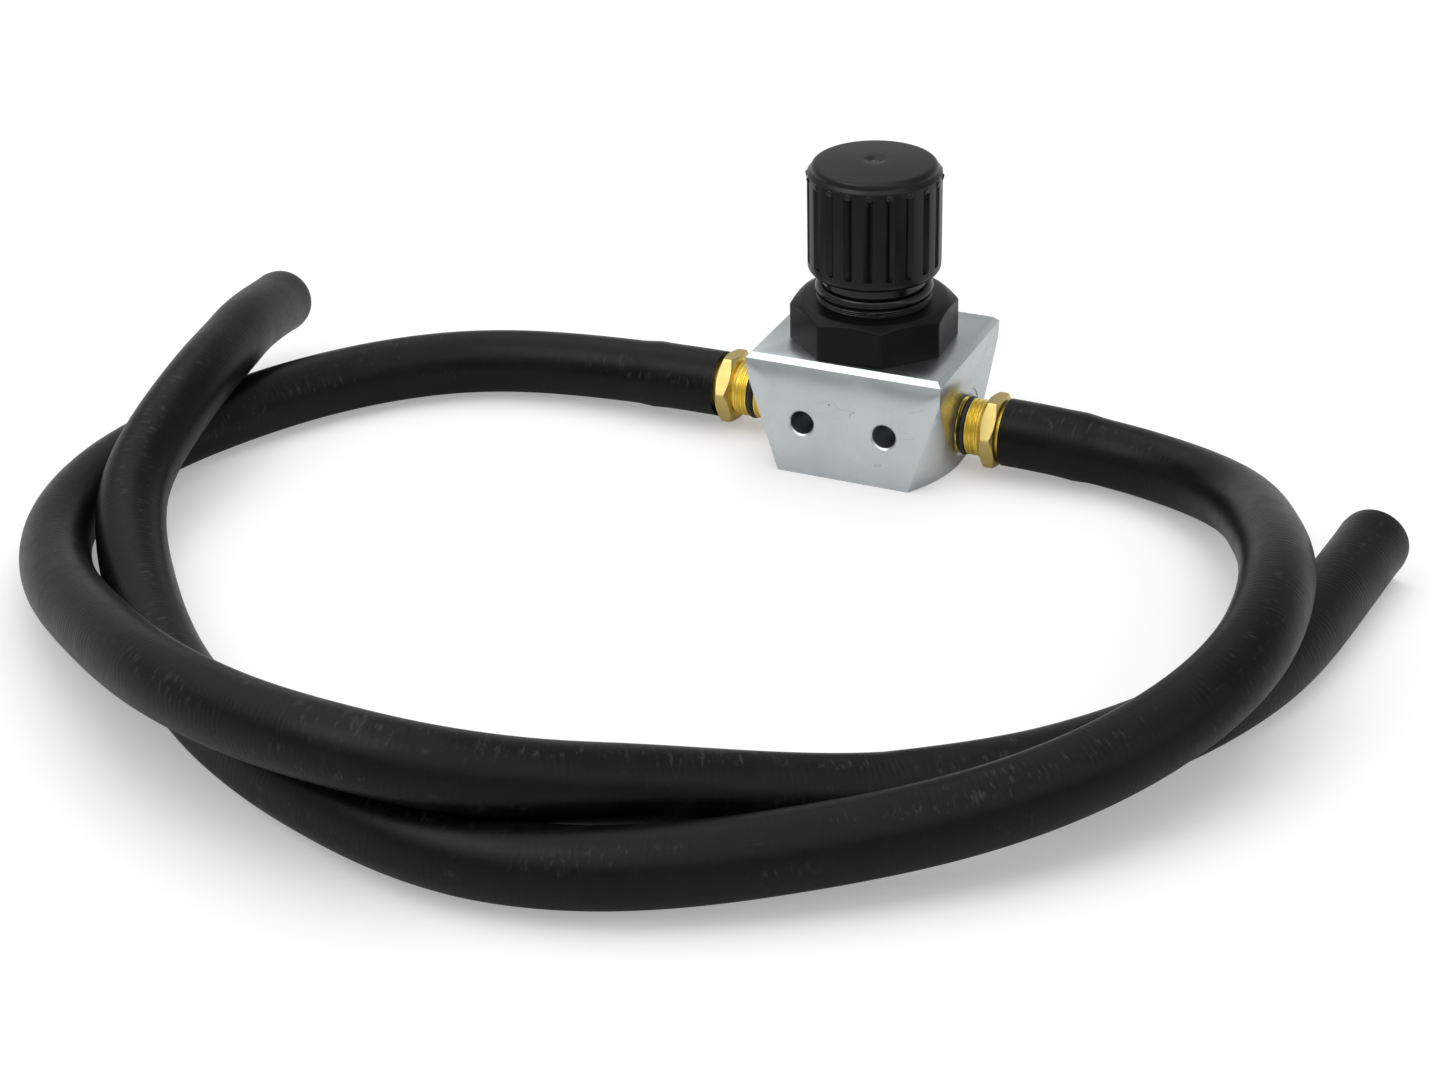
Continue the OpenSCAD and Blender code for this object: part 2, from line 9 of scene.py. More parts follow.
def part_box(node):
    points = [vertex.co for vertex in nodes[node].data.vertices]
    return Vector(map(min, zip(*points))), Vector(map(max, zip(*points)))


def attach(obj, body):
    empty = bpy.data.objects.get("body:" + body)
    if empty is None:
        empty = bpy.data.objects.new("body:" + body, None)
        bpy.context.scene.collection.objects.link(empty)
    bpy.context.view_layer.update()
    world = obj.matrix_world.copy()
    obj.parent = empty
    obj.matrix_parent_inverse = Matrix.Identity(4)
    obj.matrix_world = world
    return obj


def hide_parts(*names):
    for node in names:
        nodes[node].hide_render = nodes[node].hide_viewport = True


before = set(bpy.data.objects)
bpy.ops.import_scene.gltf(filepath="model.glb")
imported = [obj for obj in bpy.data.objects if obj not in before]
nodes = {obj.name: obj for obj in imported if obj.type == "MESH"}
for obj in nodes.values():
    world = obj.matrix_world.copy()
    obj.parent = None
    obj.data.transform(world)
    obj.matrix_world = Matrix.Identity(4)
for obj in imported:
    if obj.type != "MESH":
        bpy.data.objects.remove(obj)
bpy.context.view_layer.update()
mm = 0.001
portHeight = 14.7 * mm                               # the middle line of both ports
print("frame loaded with", len(nodes), "nodes")


# a socket that takes part in sums; each sum adds its Math node
class Wire:
    def __init__(self, book, socket):
        self.book = book
        self.socket = socket

    def math(self, operation, first, second=0.0):
        return self.book.add("ShaderNodeMath", {"operation": operation}, {0: first, 1: second})

    def __add__(self, other):
        return self.math("ADD", self, other)

    def __radd__(self, other):
        return self.math("ADD", other, self)

    def __sub__(self, other):
        return self.math("SUBTRACT", self, other)

    def __rsub__(self, other):
        return self.math("SUBTRACT", other, self)

    def __mul__(self, other):
        return self.math("MULTIPLY", self, other)

    def __rmul__(self, other):
        return self.math("MULTIPLY", other, self)

    def __truediv__(self, other):
        return self.math("DIVIDE", self, other)

    def __rtruediv__(self, other):
        return self.math("DIVIDE", other, self)

    def __pow__(self, other):
        return self.math("POWER", self, other)

    def least(self, other):
        return self.math("MINIMUM", self, other)

    def most(self, other):
        return self.math("MAXIMUM", self, other)

    def size(self):
        return self.math("ABSOLUTE", self)

    def wrap(self):
        return self.math("FRACT", self)

    def sine(self):
        return self.math("SINE", self)

    def over(self, limit):
        return self.math("GREATER_THAN", self, limit)

    def spread(self, low, high, toLow=0.0, toHigh=1.0):
        # carries the range low to high over to another one, and stops at its ends
        return self.book.add("ShaderNodeMapRange", {"clamp": True},
                             {0: self, 1: low, 2: high, 3: toLow, 4: toHigh})


class Book:
    # a node tree, of a finish or of a shape
    def __init__(self, tree):
        self.tree = tree

    def feed(self, socket, value):
        if isinstance(value, Wire):
            self.tree.links.new(value.socket, socket)
        else:
            socket.default_value = value

    def add(self, kind, settings=None, values=None, output=0):
        node = self.tree.nodes.new(kind)
        for key, value in (settings or {}).items():
            setattr(node, key, value)
        for key, value in (values or {}).items():
            self.feed(node.inputs[key], value)
        return Wire(self, node.outputs[output])

    def parts(self, vector):
        first = self.add("ShaderNodeSeparateXYZ", None, {0: vector})
        return [Wire(self, socket) for socket in first.socket.node.outputs]


class Finish(Book):
    # a material whose shader's constants are set by name
    def __init__(self, name, **constants):
        self.material = bpy.data.materials.new(name)
        self.material.use_nodes = True
        super().__init__(self.material.node_tree)
        self.shader = self.tree.nodes["Principled BSDF"]
        self.set(**constants)

    def set(self, **values):
        for key, value in values.items():
            self.feed(self.shader.inputs[key.replace("_", " ")], value)

    def place(self):
        return self.add("ShaderNodeTexCoord", None, None, "Object")

    def noise(self, vector, scale, detail=2.0, rough=0.5, warp=0.0):
        return self.add("ShaderNodeTexNoise", None, {
            "Vector": vector, "Scale": scale, "Detail": detail, "Roughness": rough,
            "Distortion": warp})

    def cells(self, vector, scale):
        # how far each spot is from the middle of its cell
        return self.add("ShaderNodeTexVoronoi", None, {"Vector": vector, "Scale": scale},
                        "Distance")

    def blend(self, share, first, second):
        colours = [c if isinstance(c, Wire) else (*c, 1) for c in (first, second)]
        return self.add("ShaderNodeMix", {"data_type": "RGBA"},
                        {0: share, 6: colours[0], 7: colours[1]}, 2)

    def stretch(self, vector, scale, turn=(0, 0, 0)):
        return self.add("ShaderNodeMapping", None,
                        {"Vector": vector, "Rotation": turn, "Scale": scale})

    def relief(self, height, strength, depth):
        bump = self.add("ShaderNodeBump", None,
                        {"Strength": strength, "Distance": depth, "Height": height})
        self.set(Normal=bump)


cameraSet = {
    "place": (0.3249, -0.8442, 0.4559),
    "aim": (-0.0219, -0.0906, 0.0),
    "lens": 66.95,
    "sensor": 36,
    "roll": 1.52,
}


def makeCamera(size):
    data = bpy.data.cameras.new("camera")
    data.lens = size["lens"]
    data.sensor_width = size["sensor"]
    camera = bpy.data.objects.new("camera", data)
    bpy.context.scene.collection.objects.link(camera)
    ahead = (Vector(size["aim"]) - Vector(size["place"])).normalized()
    level = ahead.cross(Vector((0, 0, 1))).normalized()
    right = Matrix.Rotation(math.radians(size["roll"]), 3, ahead) @ level
    up = right.cross(ahead)
    turn = Matrix((right, up, -ahead)).transposed()
    camera.matrix_world = Matrix.Translation(size["place"]) @ turn.to_4x4()
    bpy.context.scene.camera = camera


makeCamera(cameraSet)
print("camera set")


def addObject(name, verts, faces, smooth=True):
    mesh = bpy.data.meshes.new(name)
    mesh.from_pydata([tuple(v) for v in verts], [], faces)
    mesh.update()
    if smooth:
        mesh.shade_smooth()
    piece = bpy.data.objects.new(name, mesh)
    bpy.context.scene.collection.objects.link(piece)
    return piece


def gridFaces(rows, columns, closeRows=False):
    faces = []
    for i in range(rows if closeRows else rows - 1):
        below, above = i * columns, (i + 1) % rows * columns
        for k in range(columns):
            n = (k + 1) % columns
            faces.append((below + k, below + n, above + n, above + k))
    return faces


def turned(name, profile, columns, closed=False):
    # a shape turned round Z; its profile is a list of (radius, height)
    verts = [(r * math.cos(a), r * math.sin(a), z)
             for r, z in profile
             for a in (2 * math.pi * k / columns for k in range(columns))]
    piece = addObject(name, verts, gridFaces(len(profile), columns, closed))
    tidyMesh(piece)
    return piece


def tidyMesh(piece):
    # merges doubled corners and turns the faces outwards
    work = bmesh.new()
    work.from_mesh(piece.data)
    bmesh.ops.remove_doubles(work, verts=work.verts, dist=1e-6)
    bmesh.ops.recalc_face_normals(work, faces=work.faces)
    work.to_mesh(piece.data)
    work.free()


def arc(centre, radius, start, stop, steps):
    return [(centre[0] + radius * math.cos(math.radians(a)),
             centre[1] + radius * math.sin(math.radians(a)))
            for a in np.linspace(start, stop, steps)]


def filled(profile, step):
    # adds points so that no stretch of a profile is longer than step
    out = [profile[0]]
    for a, b in zip(profile, profile[1:]):
        count = max(1, math.ceil(math.dist(a, b) / step))
        out += [(a[0] + (b[0] - a[0]) * i / count, a[1] + (b[1] - a[1]) * i / count)
                for i in range(1, count + 1)]
    return out


def joined(name, pieces):
    work = bmesh.new()
    for piece in pieces:
        piece.data.transform(piece.matrix_world)
        work.from_mesh(piece.data)
        bpy.data.objects.remove(piece)
    mesh = bpy.data.meshes.new(name)
    work.to_mesh(mesh)
    work.free()
    whole = bpy.data.objects.new(name, mesh)
    bpy.context.scene.collection.objects.link(whole)
    return whole


def creases(piece, degrees):
    piece.data.shade_smooth()
    piece.data.set_sharp_from_angle(angle=math.radians(degrees))


def softCopy(node, name, size):
    # a copy of a CAD node with its hard edges eased
    mesh = nodes[node].data.copy()
    mesh.name = name
    work = bmesh.new()
    work.from_mesh(mesh)
    bmesh.ops.remove_doubles(work, verts=work.verts, dist=size["mergeGap"])
    bmesh.ops.dissolve_limit(work, angle_limit=math.radians(size["flatTo"]), verts=work.verts,
                             edges=work.edges, delimit={"NORMAL"})
    hard = [e for e in work.edges
            if len(e.link_faces) == 2 and e.calc_face_angle(0) > math.radians(size["hardFrom"])]
    bmesh.ops.bevel(work, geom=hard, offset=size["edge"], segments=2, profile=0.5,
                    affect="EDGES", clamp_overlap=True, loop_slide=True)
    bmesh.ops.triangulate(work, faces=[f for f in work.faces if len(f.verts) > 4])
    work.to_mesh(mesh)
    work.free()
    piece = bpy.data.objects.new(name, mesh)
    bpy.context.scene.collection.objects.link(piece)
    creases(piece, size["creaseFrom"])
    return piece


def makeShapeTree(name, inputs):
    # a Geometry Nodes tree with the named inputs, and its book and sockets
    tree = bpy.data.node_groups.new(name, "GeometryNodeTree")
    tree.interface.new_socket("Geometry", in_out="INPUT", socket_type="NodeSocketGeometry")
    for label, kind in inputs:
        tree.interface.new_socket(label, in_out="INPUT", socket_type=kind)
    tree.interface.new_socket("Geometry", in_out="OUTPUT", socket_type="NodeSocketGeometry")
    book = Book(tree)
    first = book.add("NodeGroupInput")
    sockets = {s.name: Wire(book, s) for s in first.socket.node.outputs}
    return book, sockets


def endShapeTree(book, given, x, y, radius, press):
    # moves each point towards Z by press, and gives the shape its finish
    shift = book.add("ShaderNodeCombineXYZ", None, {
        0: x / radius.most(1e-6) * press * -1.0, 1: y / radius.most(1e-6) * press * -1.0})
    shape = book.add("GeometryNodeSetPosition", None,
                     {"Geometry": given["Geometry"], "Offset": shift})
    whole = book.add("GeometryNodeRealizeInstances", None, {0: shape})
    dressed = book.add("GeometryNodeSetMaterial", None, {0: whole, "Material": given["Finish"]})
    end = book.tree.nodes.new("NodeGroupOutput")
    book.feed(end.inputs[0], dressed)
    return book.tree


def applyTree(piece, tree, values):
    # makes the tree's result the piece's own mesh
    modifier = piece.modifiers.new(tree.name, "NODES")
    modifier.node_group = tree
    names = {i.name: i.identifier for i in tree.interface.items_tree
             if i.item_type == "SOCKET" and i.in_out == "INPUT"}
    for key, value in values.items():
        modifier[names[key]] = value
    graph = bpy.context.evaluated_depsgraph_get()
    mesh = bpy.data.meshes.new_from_object(piece.evaluated_get(graph))
    mesh.name = piece.name
    piece.modifiers.clear()
    piece.data = mesh
    return piece


def grooveTree():
    # presses grooves with a rounded stop at the top into a shape turned round Z
    book, given = makeShapeTree("grooves", [
        ("Count", "NodeSocketInt"), ("Depth", "NodeSocketFloat"), ("Width", "NodeSocketFloat"),
        ("Low", "NodeSocketFloat"), ("High", "NodeSocketFloat"), ("Outside", "NodeSocketFloat"),
        ("Phase", "NodeSocketFloat"), ("Stop", "NodeSocketFloat"),
        ("Finish", "NodeSocketMaterial")])
    x, y, z = book.parts(book.add("GeometryNodeInputPosition"))
    radius = (x * x + y * y) ** 0.5
    turn = x.math("ARCTAN2", y, x) / (2 * math.pi) - given["Phase"]
    aside = ((turn * given["Count"] + 0.5).wrap() - 0.5).size() / given["Count"]
    across = aside * radius * (2 * math.pi)
    past = (z - given["High"]).most(0.0) + (given["Low"] - z).most(0.0) * 6.0
    away = (across * across + past * past) ** 0.5 / (given["Width"] * 0.5)
    bottom = (1.0 - away).most(0.0) ** 0.85
    above = z - given["High"] - given["Stop"] * 0.2
    stop = (1.0 - (across * across + above * above) / given["Stop"] ** 2.0).most(0.0) ** 0.6
    press = (bottom - stop * 1.05) * given["Depth"] * radius.over(given["Outside"])
    return endShapeTree(book, given, x, y, radius, press)


def threadTree():
    # cuts a screw thread into the outside of a rod turned round Z
    book, given = makeShapeTree("thread", [
        ("Pitch", "NodeSocketFloat"), ("Depth", "NodeSocketFloat"),
        ("Low", "NodeSocketFloat"), ("High", "NodeSocketFloat"), ("Outside", "NodeSocketFloat"),
        ("Finish", "NodeSocketMaterial")])
    x, y, z = book.parts(book.add("GeometryNodeInputPosition"))
    radius = (x * x + y * y) ** 0.5
    turn = x.math("ARCTAN2", y, x) / (2 * math.pi)
    place = (z / given["Pitch"] - turn).wrap()
    valley = 1.0 - ((place - 0.5).size() * 2.6).least(1.0)
    fade = ((z - given["Low"]) / given["Pitch"]).least((given["High"] - z) / given["Pitch"])
    press = valley * given["Depth"] * fade.most(0.0).least(1.0) * radius.over(given["Outside"])
    return endShapeTree(book, given, x, y, radius, press)


zincSet = {
    "colours": ((0.60, 0.65, 0.66), (0.69, 0.73, 0.73)),
    "scratch": (0.30, 0.33, 0.33),
    "speck": (0.05, 0.045, 0.04),
    "rough": (0.26, 0.38),
    "relief": 0.06 * mm,
}


def makeZinc(size):
    look = Finish("zincPlate", Metallic=1.0)
    place = look.place()
    cloud = look.noise(place, 38.0, 4.0, 0.6, 0.4)
    grain = look.noise(place, 1400.0, 2.0, 0.6)
    curls = look.noise(place, 48.0, 1.0, 0.4, 1.2)
    strokes = look.noise(look.stretch(place, (1.0, 0.7, 1.6), (0.5, 0.9, 0.3)), 70.0, 1.0, 0.4)
    lines = ((1.0 - (curls - 0.5).size().spread(0.0, 0.0022))
             .most(1.0 - (strokes - 0.46).size().spread(0.0, 0.0022)))
    patch = look.noise(place, 120.0, 2.0).spread(0.50, 0.60)
    scratch = lines * patch
    pits = 1.0 - look.cells(place, 150.0).spread(0.04, 0.11)
    rare = look.noise(place, 130.0, 1.0).spread(0.66, 0.70)
    specks = pits * rare
    pale = look.blend(cloud.spread(0.35, 0.65), *size["colours"])
    worn = look.blend(scratch * 0.7, pale, size["scratch"])
    look.set(Base_Color=look.blend(specks, worn, size["speck"]))
    look.set(Roughness=cloud.spread(0.3, 0.7, *size["rough"]) + scratch * 0.12 + specks * 0.4)
    look.relief(grain * 0.35 - scratch * 0.6 - specks * 2.0, 0.35, size["relief"])
    return look.material


brassSet = {
    "flats": ((0.66, 0.50, 0.17), (0.73, 0.57, 0.21)),
    # the thread's colour is the flats' brass made brighter and more saturated: painted reflection
    # between the thread's flanks
    "thread": (1.0, 0.78, 0.18),
    "paintedReflectionReach": 11 * mm,                          # painted reflection of the thread's flanks inside this radius, as a brighter, more saturated brass
    "nick": (0.25, 0.15, 0.04),
    "rough": (0.30, 0.40),
    "relief": 0.04 * mm,
}


def makeBrass(size):
    look = Finish("brassBar", Metallic=1.0)
    place = look.place()
    drawn = look.noise(look.stretch(place, (40.0, 900.0, 900.0)), 1.0, 3.0, 0.6)
    cloud = look.noise(place, 160.0, 3.0, 0.6)
    nicks = 1.0 - look.cells(place, 420.0).spread(0.05, 0.14)
    rare = look.noise(place, 300.0, 1.0).spread(0.68, 0.72)
    flats = look.blend(cloud.spread(0.3, 0.7), *size["flats"])
    none, y, z = look.parts(place)
    radius = (y * y + (z - portHeight) ** 2.0) ** 0.5
    # inside the thread's radius the brass takes the brighter thread colour, a painted reflection;
    # outside it keeps the flats' colour
    flatsAndPaintedReflection = look.blend(radius.over(size["paintedReflectionReach"]), size["thread"], flats)
    look.set(Base_Color=look.blend(nicks * rare, flatsAndPaintedReflection, size["nick"]))
    look.set(Roughness=drawn.spread(0.3, 0.7, *size["rough"]) + cloud * 0.06)
    look.relief(drawn - nicks * rare, 0.20, size["relief"])
    return look.material


plasticSet = {
    # colour, roughness, depth of the grain, shine, and radius of the gate mark
    "knobPlastic": ((0.002, 0.002, 0.002), 0.30, 0.04 * mm, 0.33, 1.5 * mm),
    "nutPlastic": ((0.004, 0.004, 0.004), 0.30, 0.03 * mm, 0.15, 0),
    "collarPlastic": ((0.003, 0.003, 0.003), 0.18, 0.02 * mm, 0.42, 0),
}


def makePlastic(name, colour, rough, grainDepth, shine, gate):
    look = Finish(name, Specular_IOR_Level=shine)
    place = look.place()
    cloud = look.noise(place, 70.0, 3.0, 0.55)
    grain = look.noise(place, 2600.0, 2.0, 0.6)
    scuff = look.noise(look.stretch(place, (900.0, 900.0, 60.0)), 1.0, 2.0, 0.6)
    plain = look.blend(cloud.spread(0.35, 0.65), colour, tuple(c * 1.5 for c in colour))
    if gate:
        # the rough pale mark of the moulding gate, on the middle line
        x, y, none = look.parts(place)
        torn = look.noise(place, 1500.0, 2.0, 0.7).spread(0.42, 0.56)
        mark = (1.0 - ((x * x + y * y) ** 0.5).spread(gate * 0.6, gate)) * torn
        plain = look.blend(mark, plain, (0.16, 0.14, 0.11))
    look.set(Base_Color=plain)
    look.set(Roughness=cloud.spread(0.3, 0.7, rough - 0.03, rough + 0.05)
             + scuff.spread(0.62, 0.8) * 0.08)
    look.relief(grain, 0.3, grainDepth)
    return look.material


hoseRubberSet = {
    "colours": ((0.0020, 0.0019, 0.0018), (0.0048, 0.0046, 0.0043)),
    "chalk": (0.050, 0.050, 0.048),
    "rough": 0.32,
    "shine": 1.28,
    "seamAt": 0.36,                                  # a share of one turn round the hose
    "relief": 0.14 * mm,
}


def makeHoseRubber(size):
    # u runs along the hose in metres, v runs once round it
    look = Finish("hoseRubber", IOR=size["shine"])
    along, around, none = look.parts(look.add("ShaderNodeTexCoord", None, None, "UV"))
    place = look.place()
    angle = around * (2 * math.pi)

    def wrapped(lengthwise, across):
        # a vector that meets itself after one turn round the hose
        return look.add("ShaderNodeCombineXYZ", None, {
            0: along * lengthwise, 1: angle.sine() * across,
            2: (angle + math.pi / 2).sine() * across})

    drift = look.noise(wrapped(60.0, 0.5), 1.0, 3.0, 0.6)
    fine = look.noise(place, 420.0, 3.0, 0.65)
    ripple = ((along * 480.0 + drift * 3.0 + angle.sine() * 0.7) * (2 * math.pi)).sine()
    band = look.noise(wrapped(60.0, 0.5), 2.2, 2.0, 0.5).spread(0.42, 0.66)
    # short chalky strokes in long patches, and a thin dashed seam line
    strokes = look.noise(wrapped(700.0, 2.6), 1.0, 2.0, 0.6).spread(0.56, 0.70)
    patch = look.noise(wrapped(16.0, 1.5), 1.0, 2.0, 0.5).spread(0.50, 0.62)
    seam = 1.0 - (around - size["seamAt"]).size().spread(0.0, 0.005)
    dashes = look.noise(wrapped(330.0, 1.0), 1.0, 3.0, 0.7).spread(0.52, 0.66)
    mark = (seam * dashes * 0.5).most(strokes * patch)
    dusty = look.noise(wrapped(60.0, 0.5), 1.4, 4.0, 0.7).spread(0.45, 0.75)
    plain = look.blend(dusty, *size["colours"])
    look.set(Base_Color=look.blend(mark * 0.45, plain, size["chalk"]))
    look.set(Roughness=size["rough"] + dusty * 0.10 + fine.spread(0.3, 0.7) * 0.05 + mark * 0.1)
    look.relief(ripple * band * 0.28 + fine * 0.7 + drift * 1.1, 0.45, size["relief"])
    return look.material


def makeSealRubber():
    look = Finish("sealRubber")
    place = look.place()
    fine = look.noise(place, 900.0, 2.0)
    look.set(Base_Color=look.blend(fine, (0.010, 0.010, 0.011), (0.018, 0.018, 0.019)))
    look.set(Roughness=fine.spread(0.3, 0.7, 0.38, 0.50))
    look.relief(fine, 0.2, 0.04 * mm)
    return look.material


def makeSteel():
    look = Finish("turnedSteel", Metallic=1.0)
    place = look.place()
    rings = look.noise(look.stretch(place, (60.0, 60.0, 2600.0)), 1.0, 2.0)
    look.set(Base_Color=look.blend(rings, (0.50, 0.50, 0.51), (0.62, 0.62, 0.63)))
    look.set(Roughness=rings.spread(0.3, 0.7, 0.22, 0.36))
    look.relief(rings, 0.2, 0.04 * mm)
    return look.material


zinc = makeZinc(zincSet)
brass = makeBrass(brassSet)
knobPlastic, nutPlastic, collarPlastic = (
    makePlastic(name, *row) for name, row in plasticSet.items())
hoseRubber = makeHoseRubber(hoseRubberSet)
sealRubber = makeSealRubber()
steel = makeSteel()
grooves = grooveTree()
thread = threadTree()
print("finishes and shape trees ready")


def dress(piece, finish, node, body="block_assembly"):
    # gives a piece its finish and puts it on its body in place of a CAD node
    piece.data.materials.clear()
    piece.data.materials.append(finish)
    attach(piece, body)
    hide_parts(node)


hoseSet = {
    "outer": 12.1 * mm,
    "inner": 8.0 * mm,
    "bulge": 0.5 * mm,                               # over the barbs, with a ridge behind them
    "bulgeLength": 34 * mm,
    "bulgeShare": 0.7,
    "bulgeSlope": 5,
    "ridgeAt": 0.82,
    "ridgeWidth": 4 * mm,
    "ridgeShare": 0.5,
    "flare": 0.35 * mm,                              # at the cut end
    "flareLength": 16 * mm,
    "rim": 0.4 * mm,
    "press": 1.1 * mm,                               # how far the upper hose gives way
    "pressMost": 1.5 * mm,
    "pressSlope": (2.5, 0.7),
    "reach": 27.5 * mm,
    "blur": 21,
    "step": 3 * mm,
    "columns": 48,
    "creaseFrom": 50,
}

# x, y and the lift of the hose above the surface it lies on, in metres
leftRoute = [
    (-0.110, 0, 0.001), (-0.159, -0.010, 0), (-0.200, -0.042, 0), (-0.227, -0.086, 0),
    (-0.241, -0.134, 0), (-0.234, -0.181, 0.001), (-0.207, -0.222, 0.005),
    (-0.169, -0.255, 0.013), (-0.126, -0.283, 0.021), (-0.077, -0.300, 0.025),
    (-0.028, -0.303, 0.026), (0.013, -0.284, 0.017), (0.051, -0.259, 0.007),
    (0.094, -0.232, 0), (0.132, -0.203, 0), (0.162, -0.164, 0), (0.181, -0.118, 0),
    (0.188, -0.074, 0), (0.193, -0.029, 0),
]
rightRoute = [
    (0.098, 0, 0), (0.140, -0.022, 0.004), (0.163, -0.064, 0.015), (0.177, -0.109, 0.025),
    (0.180, -0.156, 0.024), (0.160, -0.203, 0.015), (0.125, -0.242, 0.008),
    (0.083, -0.273, 0.004), (0.037, -0.297, 0.001), (-0.007, -0.306, 0),
    (-0.055, -0.298, 0), (-0.105, -0.277, 0), (-0.148, -0.246, 0), (-0.185, -0.208, 0.001),
    (-0.214, -0.165, 0.011), (-0.222, -0.113, 0.025), (-0.234, -0.064, 0.024),
    (-0.248, -0.015, 0.014),
]


def smoothPath(points, start, step, floor):
    # a cubic spline through the points that leaves the first one along start
    points = np.array(points, float)
    gaps = np.linalg.norm(np.diff(points, axis=0), axis=1)
    count = len(points)
    matrix = np.zeros((count, count))
    right = np.zeros((count, 3))
    matrix[0, :2] = 2 * gaps[0], gaps[0]
    right[0] = 6 * ((points[1] - points[0]) / gaps[0] - np.array(start))
    for i in range(1, count - 1):
        matrix[i, i - 1:i + 2] = gaps[i - 1], 2 * (gaps[i - 1] + gaps[i]), gaps[i]
        right[i] = 6 * ((points[i + 1] - points[i]) / gaps[i]
                        - (points[i] - points[i - 1]) / gaps[i - 1])
    matrix[-1, -1] = 1
    bend = np.linalg.solve(matrix, right)
    path = []
    for i, gap in enumerate(gaps):
        steps = max(2, round(gap / step))
        for k in range(steps + (i == count - 2)):
            b = k / steps
            a = 1 - b
            path.append(a * points[i] + b * points[i + 1]
                        + ((a ** 3 - a) * bend[i] + (b ** 3 - b) * bend[i + 1]) * gap ** 2 / 6)
    path = np.array(path)
    path[:, 2] = np.maximum(path[:, 2], floor)
    return path


def hosePath(exit, start, route, size):
    points = [exit] + [(x, y, size["outer"] + lift) for x, y, lift in route]
    return smoothPath(points, start, size["step"], size["outer"])


def pressed(path, other, size):
    # brings a path closer to the other hose's where the two lie on each other
    apart = path[:, None] - other[None]
    gaps = np.linalg.norm(apart, axis=2)
    nearest = gaps.argmin(axis=1)
    rows = np.arange(len(path))
    gap = gaps[rows, nearest]
    away = apart[rows, nearest] / gap[:, None]
    share = np.clip((size["reach"] - gap) / (size["reach"] - 2 * size["outer"]), 0, 1)
    slope, start = size["pressSlope"]
    share *= np.clip(away[:, 2] * slope - start, 0, 1)   # only the upper hose gives way
    shift = np.clip(share * (gap - 2 * size["outer"] + size["press"]), 0, size["pressMost"])
    bell = np.hanning(size["blur"])
    shift = np.convolve(shift, bell / ((size["blur"] - 1) / 2), "same")
    moved = path - away * shift[:, None]
    moved[:, 2] = np.maximum(moved[:, 2], size["outer"])
    return moved


def makeHose(name, start, path, size, node):
    along = np.r_[0, np.cumsum(np.linalg.norm(np.diff(path, axis=0), axis=1))]
    length = along[-1]
    ahead = np.gradient(path, axis=0)
    ahead[0] = start
    ahead /= np.linalg.norm(ahead, axis=1)[:, None]
    aside = np.cross(ahead, (0, 0, 1))
    aside /= np.linalg.norm(aside, axis=1)[:, None]
    up = np.cross(aside, ahead)
    turn = np.linspace(0, 2 * np.pi, size["columns"], endpoint=False)
    spokes = (aside[:, None] * np.cos(turn)[None, :, None]
              + up[:, None] * np.sin(turn)[None, :, None])

    over = np.clip(1 - along / size["bulgeLength"], 0, 1)
    sleeve = np.minimum(1, over * size["bulgeSlope"]) * size["bulgeShare"]
    ridge = np.exp(-((along - size["bulgeLength"] * size["ridgeAt"]) / size["ridgeWidth"]) ** 2)
    flare = np.clip(1 - (length - along) / size["flareLength"], 0, 1)
    outer = (size["outer"] + size["bulge"] * (sleeve + size["ridgeShare"] * ridge)
             + size["flare"] * flare ** 2)
    outer[-1] -= size["rim"]                         # the rounded rim of the cut end
    outside = path[:, None] + spokes * outer[:, None, None]
    outside[:, :, 2] = np.maximum(outside[:, :, 2], 0)
    inner = np.full(len(path), size["inner"]) + size["flare"] * flare ** 2
    inside = path[:, None] + spokes * inner[:, None, None]
    rings = np.concatenate([outside, inside[::-1]])
    rows, columns = len(rings), size["columns"]
    piece = addObject(name, rings.reshape(-1, 3), gridFaces(rows, columns, True))
    work = bmesh.new()
    work.from_mesh(piece.data)
    bmesh.ops.recalc_face_normals(work, faces=work.faces)
    sheet = work.loops.layers.uv.new("UVMap")
    reach = np.concatenate([along, along[::-1]])
    for face in work.faces:
        spots = [(v.index // columns, v.index % columns) for v in face.verts]
        wraps = {c for r, c in spots} == {0, columns - 1}
        for loop, (row, column) in zip(face.loops, spots):
            share = 1.0 if wraps and column == 0 else column / columns
            loop[sheet].uv = (reach[row], share)
    work.to_mesh(piece.data)
    work.free()
    creases(piece, size["creaseFrom"])
    dress(piece, hoseRubber, node)
    print(name, "runs", round(length, 3), "m")


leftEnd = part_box("left_fitting")
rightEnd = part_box("right_fitting")
tail = 28 * mm                                       # the barbed stretch inside each hose
leftExit = (leftEnd[0].x + tail, 0, portHeight)
rightExit = (rightEnd[1].x - tail, 0, portHeight)
leftPath = hosePath(leftExit, (-1, 0, 0), leftRoute, hoseSet)
rightPath = hosePath(rightExit, (1, 0, 0), rightRoute, hoseSet)
leftPressed = pressed(leftPath, rightPath, hoseSet)
rightPressed = pressed(rightPath, leftPath, hoseSet)
makeHose("leftHose", (-1, 0, 0), leftPressed, hoseSet, "left_hose")
makeHose("rightHose", (1, 0, 0), rightPressed, hoseSet, "right_hose")


blockSet = {
    "edge": 0.25 * mm,                               # width of the eased edges
    "mergeGap": 0.002 * mm,
    "flatTo": 0.4, "hardFrom": 25, "creaseFrom": 35,   # degrees between faces
}


def makeBlock(size):
    block = softCopy("valve_body", "blockShell", size)
    dress(block, zinc, "valve_body")


makeBlock(blockSet)
print("block made")


